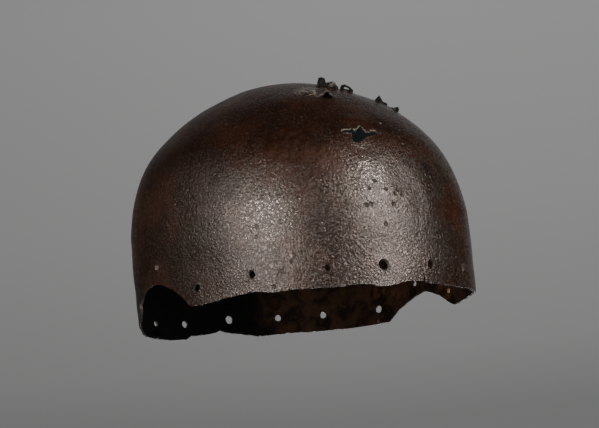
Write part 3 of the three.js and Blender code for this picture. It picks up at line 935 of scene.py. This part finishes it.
# Lifted plate of the blister, drawn out in grey-brown streaks along its right flank
lifted = {
    "dark": (0.008, 0.0050, 0.0037), "pale": (0.066, 0.051, 0.042), "along": (0.60, -0.55, -0.58),
    "drawn": -0.80, "streakSpan": 0.0010, "streakLevels": (0.44, 0.62), "streakDepth": 0.0005,
    "grain": (0.0002, 0.0007, 3, 0.65),
}


def makeLiftedPlate():
    finish = Finish("liftedIronPlate")
    run = finish.vectorMath("DOT_PRODUCT", {0: finish.place, 1: lifted["along"]}, "Value")
    squeeze = finish.vectorMath("SCALE", {0: lifted["along"], "Scale": run * lifted["drawn"]})
    drawn = finish.vectorMath("ADD", {0: finish.place, 1: squeeze})
    streaks = finish.grain(lifted["streakSpan"], 3, 0.6, place=drawn)
    pale = finish.between(streaks, *lifted["streakLevels"])
    colour = finish.blend(pale, lifted["dark"], lifted["pale"])
    height = streaks * lifted["streakDepth"] + finish.relief(*lifted["grain"])
    return finish.surface({"Base Color": colour, "Roughness": 0.5, "IOR": 1.35}, height)


# Other slivers: black crust with grey, worn backs
tornCrust = {
    "crust": (0.0030, 0.0024, 0.0021), "worn": (0.030, 0.024, 0.020), "wear": (0.50, 0.68, 0.0024, 4, 0.65),
    "pale": (0.105, 0.092, 0.080), "paleSpots": [((0.0076, -0.0380, 0.1415), 0.002, 0.005)],
    "rubbed": (0.36, 0.52, 0.0024, 3, 0.6), "grain": (0.0003, 0.0007, 4, 0.65),
}


def makeTornIron():
    finish = Finish("tornIronCrust")
    rubbed = finish.blotches(*tornCrust["rubbed"]) * finish.nearAny(tornCrust["paleSpots"])
    colour = finish.layers(tornCrust["crust"], [
        (finish.blotches(*tornCrust["wear"]), tornCrust["worn"]), (rubbed, tornCrust["pale"])])
    return finish.surface(
        {"Base Color": colour, "Roughness": 0.65, "IOR": 1.2}, finish.relief(*tornCrust["grain"]))


# Round pale sweep: floor, curved foot and wall, with its glow from the floor up; the glow is painted light
sweep = {
    "radius": 5.0, "floor": -0.75, "foot": 1.5, "top": 4.2, "sides": 96, "steps": 12,
    "glowFoot": -0.30, "glowTop": 1.25,
    "glow": [(-0.30, 0.120), (0.36, 0.139), (0.50, 0.188), (0.80, 0.230), (1.25, 0.267)],
    "dimSide": 0.82, "dimFrom": -0.95, "dimTo": 0.25, "paper": (0.10, 0.10, 0.10, 1),
    "litFrom": -4.6, "floorEdge": 0.02,
}


def makePaper():  # painted light: its glow rises from the floor up and fades a little to the left
    finish = Finish("sweepPaper")
    tall = sweep["glowTop"] - sweep["glowFoot"]
    stops = [((height - sweep["glowFoot"]) / tall, (glow,) * 3) for height, glow in sweep["glow"]]
    rise = finish.along("Z", sweep["glowFoot"], sweep["glowTop"], "LINEAR")
    glow = finish.node("ShaderNodeValToRGB", {"stops": stops}, {"Fac": rise}, "Color")
    rightward = viewDirection(camera["azimuth"] + 90, 0)
    across = finish.vectorMath("DOT_PRODUCT", {0: finish.place, 1: rightward}, "Value")
    side = finish.between(across, sweep["dimFrom"], sweep["dimTo"])
    glow = glow * (sweep["dimSide"] + (1 - sweep["dimSide"]) * side)
    return finish.surface({
        "Base Color": sweep["paper"], "Roughness": 1.0, "Emission Color": glow, "Emission Strength": 1.0})


def makeSweep():
    deselectAll()
    bpy.ops.mesh.primitive_circle_add(
        vertices=sweep["sides"], radius=sweep["radius"] - sweep["foot"], fill_type="NGON",
        location=(0, 0, sweep["floor"]))
    stage = bpy.context.active_object
    editAll(stage)
    bpy.ops.mesh.region_to_loop()
    radius, height = sweep["radius"] - sweep["foot"], sweep["floor"]
    for step in range(1, sweep["steps"] + 1):
        turn = math.pi / 2 * step / sweep["steps"]
        nextRadius = sweep["radius"] - sweep["foot"] * (1 - math.sin(turn))
        nextHeight = sweep["floor"] + sweep["foot"] * (1 - math.cos(turn))
        bpy.ops.mesh.extrude_edges_move(TRANSFORM_OT_translate={"value": (0, 0, nextHeight - height)})
        share = nextRadius / radius
        bpy.ops.transform.resize(value=(share, share, 1))
        radius, height = nextRadius, nextHeight
    bpy.ops.mesh.extrude_edges_move(TRANSFORM_OT_translate={"value": (0, 0, sweep["top"] - height)})
    bpy.ops.mesh.select_all(action="SELECT")
    bpy.ops.mesh.normals_make_consistent(inside=True)
    leaveEdit()
    bpy.ops.object.shade_smooth()
    stage.data.materials.append(makePaper())
    settle(stage, "sweep")
    partFrontWall(stage)


# Parts the sweep's foot and wall from its floor, but for a narrow stretch straight behind the helmet;
# what is parted lights and mirrors nothing, like an open studio
def partFrontWall(stage):
    towards = viewDirection(camera["azimuth"], 0)
    editAll(stage)
    bpy.ops.mesh.select_mode(type="FACE")
    bpy.ops.mesh.select_all(action="DESELECT")
    leaveEdit()
    for face in stage.data.polygons:
        overFloor = face.center.z > sweep["floor"] + sweep["floorEdge"]
        face.select = overFloor and face.center.dot(towards) > sweep["litFrom"]
    bpy.ops.object.mode_set(mode="EDIT")
    bpy.ops.mesh.separate(type="SELECTED")
    leaveEdit()
    frontWall = [piece for piece in bpy.context.selected_objects if piece != stage][0]
    settle(frontWall, "frontWall")
    frontWall.visible_glossy = False
    frontWall.visible_diffuse = False


# Softboxes: azimuth and elevation as seen from the helmet, width, height and power
lights = {
    "leftBox": (-70.5, 11, 0.40, 0.42, 39), "leftSkirt": (-99, 18, 0.55, 0.70, 14),
    "rightBox": (6, 28, 0.42, 0.42, 34.5), "rightSkirt": (24, 27, 0.50, 0.45, 14),
    "lowBox": (16, 12, 0.85, 0.42, 28), "backBox": (143.7, -4, 0.45, 0.45, 13),
}

# What all softboxes share, and the world's dim grey
studio = {
    "aim": (0, 0, 0.07), "distance": 2.1, "lightColour": (1.0, 0.98, 0.96),
    "world": (0.015, 0.015, 0.015, 1),
}


def viewDirection(azimuth, elevation):  # from the helmet towards a place at this azimuth and elevation
    azimuth, elevation = math.radians(azimuth), math.radians(elevation)
    level = math.cos(elevation)
    return Vector((math.sin(azimuth) * level, -math.cos(azimuth) * level, math.sin(elevation)))


def makeLight(name, azimuth, elevation, width, height, power):
    back = viewDirection(azimuth, elevation)
    data = bpy.data.lights.new(name, "AREA")
    data.shape = "RECTANGLE"
    data.size, data.size_y = width, height
    data.energy = power
    data.color = studio["lightColour"]
    light = bpy.data.objects.new(name, data)
    light.location = Vector(studio["aim"]) + back * studio["distance"]
    light.rotation_mode = "QUATERNION"
    light.rotation_quaternion = back.to_track_quat("Z", "Y")
    light.visible_camera = False
    bpy.context.collection.objects.link(light)


# Photographer's place: azimuth and elevation of the lens from the point aimed at, and its roll
camera = {
    "aim": (0.00113, -0.00083, 0.06401), "azimuth": -36.334, "elevation": -8.499, "roll": -5.452,
    "distance": 2.20044, "lens": 208.88, "sensor": 36, "clip": (0.05, 30),
}


def makeCamera():
    back = viewDirection(camera["azimuth"], camera["elevation"])
    data = bpy.data.cameras.new("photographer")
    data.lens, data.sensor_width = camera["lens"], camera["sensor"]
    data.clip_start, data.clip_end = camera["clip"]
    holder = bpy.data.objects.new("photographer", data)
    holder.location = Vector(camera["aim"]) + back * camera["distance"]
    holder.rotation_mode = "QUATERNION"
    roll = Matrix.Rotation(math.radians(camera["roll"]), 3, back).to_quaternion()
    holder.rotation_quaternion = roll @ back.to_track_quat("Z", "Y")
    bpy.context.collection.objects.link(holder)
    bpy.context.scene.camera = holder


def makeWorld():
    world = bpy.data.worlds.new("dimStudio")
    bpy.context.scene.world = world
    world.use_nodes = True
    world.node_tree.nodes["Background"].inputs["Color"].default_value = studio["world"]


makeCamera()
makeWorld()
makeSweep()
for name, settings in lights.items():
    makeLight(name, *settings)
print("stage and camera ready")

makeSkull(makePatina(), makeInside(), makeCutEdge())
liftedIron, tornIron = makeLiftedPlate(), makeTornIron()
for node in slivers["shares"]:
    makeSliver(node, liftedIron if node == hood["node"] else tornIron)
print("slivers ready")

deselectAll()
